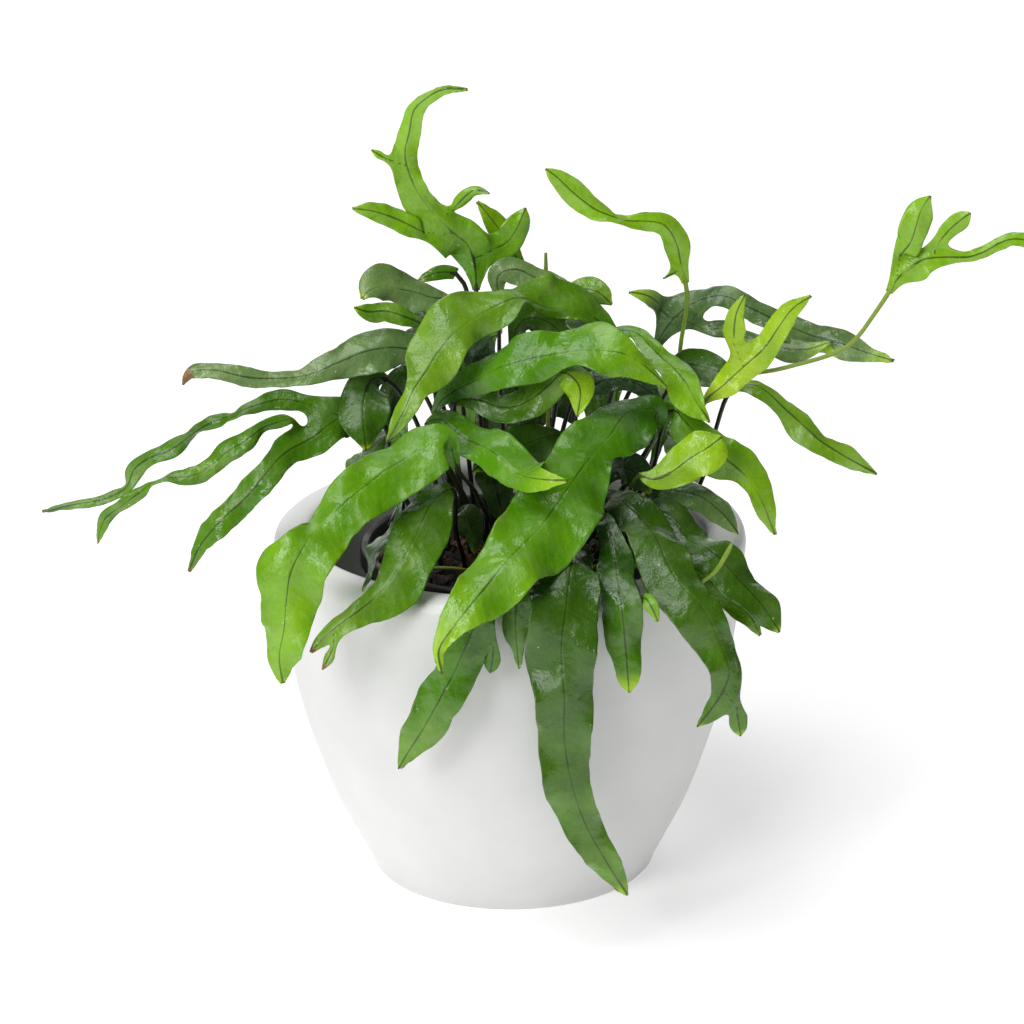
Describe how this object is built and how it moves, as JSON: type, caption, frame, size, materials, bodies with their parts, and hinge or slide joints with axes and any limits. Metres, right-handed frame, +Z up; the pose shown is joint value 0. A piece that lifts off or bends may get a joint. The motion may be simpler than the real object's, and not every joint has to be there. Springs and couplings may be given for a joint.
{
  "type": "potted kangaroo paw fern",
  "caption": "Fern with long arching, forked and waved fronds, growing in a nursery pot that stands inside a round white ceramic pot.",
  "frame": {"origin": "centre of the ceramic pot's flat foot, on the surface that it rests on", "axes": "+Z up along the pot's axis, -Y towards the side over which the longest fronds hang, +X to its right seen from there"},
  "size_m": [0.3975, 0.2662, 0.326],
  "materials": {
    "white_ceramic": "matt white glaze",
    "black_plastic": "moulded black polypropylene",
    "bark_soil": "moist bark chips and peat",
    "dark_leaf": "satin dark green leaf, bluish where old",
    "mid_leaf": "satin green leaf",
    "bright_leaf": "glossy fresh green leaf",
    "lime_leaf": "glossy yellow-green young leaf"
  },
  "bodies": {
    "root": {"pot": "white_ceramic", "nursery_pot": "black_plastic", "soil": "bark_soil", "frond_crown_forked": "mid_leaf", "frond_crown_pale": "bright_leaf", "frond_dark_top": "dark_leaf", "frond_arch_left": "dark_leaf", "frond_dark_middle": "dark_leaf", "frond_middle_bright": "bright_leaf", "frond_right_narrow": "mid_leaf", "frond_lime_paw": "lime_leaf", "frond_right_forked": "dark_leaf", "frond_right_dark": "dark_leaf", "frond_right_drooping": "mid_leaf", "frond_right_curved": "mid_leaf", "frond_lime_curled": "lime_leaf", "frond_centre_broad": "bright_leaf", "frond_centre_pale": "bright_leaf", "frond_left_broad": "bright_leaf", "frond_left_double_tip": "mid_leaf", "frond_left_bluish": "dark_leaf", "frond_left_brown_tip": "dark_leaf", "frond_left_hanging": "dark_leaf", "frond_left_three_fingers": "mid_leaf", "frond_left_upper": "dark_leaf", "frond_left_olive": "mid_leaf", "frond_left_rear": "dark_leaf", "frond_top_crinkled": "mid_leaf", "frond_middle_curled": "mid_leaf", "frond_middle_grey": "dark_leaf", "frond_front_right_long": "dark_leaf", "frond_front_right_broad": "dark_leaf", "frond_front_right_grey": "dark_leaf", "frond_front_right_olive": "mid_leaf", "sprout_front_right": "lime_leaf", "frond_front_longest": "dark_leaf", "frond_front_hidden": "mid_leaf", "frond_front_short": "mid_leaf", "frond_front_forked": "mid_leaf", "sprout_front": "bright_leaf", "frond_inner_left": "dark_leaf", "frond_inner_green": "dark_leaf", "frond_inner_blue": "dark_leaf", "frond_tall_zigzag": "bright_leaf", "frond_far_right_paw": "bright_leaf", "frond_inner_deep": "dark_leaf", "frond_inner_back": "dark_leaf", "frond_inner_right": "dark_leaf", "frond_back_left": "dark_leaf", "frond_back_middle": "mid_leaf", "frond_back_right": "dark_leaf", "frond_back_far_right": "mid_leaf", "frond_back_low_left": "mid_leaf", "frond_back_low_right": "dark_leaf", "frond_back_low_middle": "dark_leaf", "frond_back_low_inner": "mid_leaf", "frond_back_low_outer": "bright_leaf", "frond_inner_rear": "dark_leaf", "sprout_creeping": "lime_leaf", "sprout_crown": "lime_leaf"}
  },
  "joints": []
}
